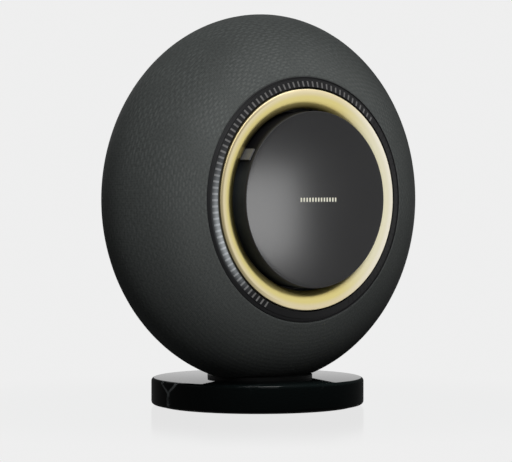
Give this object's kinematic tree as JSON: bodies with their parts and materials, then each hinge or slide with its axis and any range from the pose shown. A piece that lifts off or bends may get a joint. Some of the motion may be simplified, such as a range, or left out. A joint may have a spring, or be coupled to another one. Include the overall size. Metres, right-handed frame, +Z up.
{
  "type": "smart speaker",
  "caption": "Free-standing smart speaker: a flattened round fabric-covered body on a round stone plinth, with a gold volume ring round a glossy black touch disc.",
  "frame": {"origin": "on the table, in the middle of the plinth's underside", "axes": "+Z up, the face looks along -Y, +X to the right seen from the front"},
  "size_m": [0.372, 0.215, 0.3944],
  "materials": {
    "stone": "polished black stone with faint grey veins",
    "rubber": "matte rubber",
    "steel": "plated steel",
    "cast_metal": "dark coated die casting",
    "shell_plastic": "moulded, fine texture",
    "knit": "dark grey knit with a fine rib",
    "brass": "turned brass",
    "black_gloss": "gloss black moulding",
    "light_guide": "frosted clear moulding",
    "circuit_board": "green solder mask",
    "gold": "satin champagne gold anodised finish",
    "bearing_plastic": "low-friction moulding",
    "black_plastic": "black moulding, fine texture",
    "disc_glass": "gloss black-backed glass",
    "cone_paper": "pressed black paper",
    "damper_cloth": "varnished cloth",
    "copper": "wound copper wire",
    "mid_metal": "brushed thin metal",
    "dome_silk": "coated silk",
    "button_metal": "satin metal",
    "switch_orange": "orange moulding"
  },
  "bodies": {
    "speaker": {"plinth": "stone", "foot_pad": "rubber", "plinth_screws": "steel", "neck_casting": "cast_metal", "front_shell": "shell_plastic", "rear_shell": "shell_plastic", "knitted_cover": "knit", "case_screws": "steel", "chassis_plate": "steel", "standoffs": "steel", "board_spacers": "brass", "front_frame": "cast_metal", "bezel": "black_gloss", "light_guide": "light_guide", "scale_board": "circuit_board", "scale_lamps": "light_guide", "ring_bush": "bearing_plastic", "ring_sensor": "black_plastic", "disc_spider": "cast_metal", "disc_cup": "black_gloss", "disc_glass": "disc_glass", "touch_board": "circuit_board", "microphones": "shell_plastic", "centre_lights": "light_guide", "woofer_basket": "cast_metal", "woofer_gasket": "rubber", "woofer_motor": "steel", "woofer_surround": "rubber", "woofer_damper": "damper_cloth", "mid_left_basket": "black_plastic", "mid_left_surround": "rubber", "mid_right_basket": "black_plastic", "mid_right_surround": "rubber", "tweeter_left_body": "black_plastic", "tweeter_left_surround": "rubber", "tweeter_right_body": "black_plastic", "tweeter_right_surround": "rubber", "main_board": "circuit_board", "shield_can": "steel", "aerials": "brass", "amplifier_board": "circuit_board", "heat_sink": "cast_metal", "power_board": "circuit_board", "rear_grille": "black_plastic", "trim_ring": "gold", "socket_bay": "black_plastic", "socket_board": "circuit_board", "mains_inlet": "black_plastic", "signal_sockets": "black_plastic"},
    "volume_ring": {"volume_ring": "gold", "code_ring": "black_plastic"},
    "woofer_cone": {"woofer_cone": "cone_paper", "woofer_coil": "copper"},
    "mid_left_cone": {"mid_left_cone": "mid_metal"},
    "mid_right_cone": {"mid_right_cone": "mid_metal"},
    "tweeter_left_dome": {"tweeter_left_dome": "dome_silk"},
    "tweeter_right_dome": {"tweeter_right_dome": "dome_silk"},
    "power_button": {"power_button": "button_metal"},
    "pair_button": {"pair_button": "button_metal"},
    "mute_switch": {"mute_switch": "switch_orange"}
  },
  "joints": [
    {"name": "volume_ring_turn", "type": "hinge", "parent": "speaker", "child": "volume_ring", "pos_m": [0, -0.013, 0.2085], "axis": [0, -1, 0], "continuous": true},
    {"name": "woofer_cone_travel", "type": "slide", "parent": "speaker", "child": "woofer_cone", "axis": [0, 1, 0], "range_m": [-0.004, 0.004], "stiffness_N_per_m": 1500, "deforming": ["woofer_surround", "woofer_damper"]},
    {"name": "mid_left_cone_travel", "type": "slide", "parent": "speaker", "child": "mid_left_cone", "axis": [-0.6015, -0.7988, 0], "range_m": [-0.0015, 0.0015], "stiffness_N_per_m": 800, "deforming": ["mid_left_surround"]},
    {"name": "mid_right_cone_travel", "type": "slide", "parent": "speaker", "child": "mid_right_cone", "axis": [0.6015, -0.7988, 0], "range_m": [-0.0015, 0.0015], "stiffness_N_per_m": 800, "deforming": ["mid_right_surround"]},
    {"name": "tweeter_left_dome_travel", "type": "slide", "parent": "speaker", "child": "tweeter_left_dome", "axis": [-0.4075, -0.8173, 0.4075], "range_m": [-0.0003, 0.0003], "stiffness_N_per_m": 800, "deforming": ["tweeter_left_surround"]},
    {"name": "tweeter_right_dome_travel", "type": "slide", "parent": "speaker", "child": "tweeter_right_dome", "axis": [0.4075, -0.8173, 0.4075], "range_m": [-0.0003, 0.0003], "stiffness_N_per_m": 800, "deforming": ["tweeter_right_surround"]},
    {"name": "power_button_press", "type": "slide", "parent": "speaker", "child": "power_button", "axis": [0, -1, 0], "range_m": [0, 0.0008], "stiffness_N_per_m": 400},
    {"name": "pair_button_press", "type": "slide", "parent": "speaker", "child": "pair_button", "axis": [0, -1, 0], "range_m": [0, 0.0008], "stiffness_N_per_m": 400},
    {"name": "mute_switch_slide", "type": "slide", "parent": "speaker", "child": "mute_switch", "axis": [1, 0, 0], "range_m": [0, 0.004]}
  ]
}
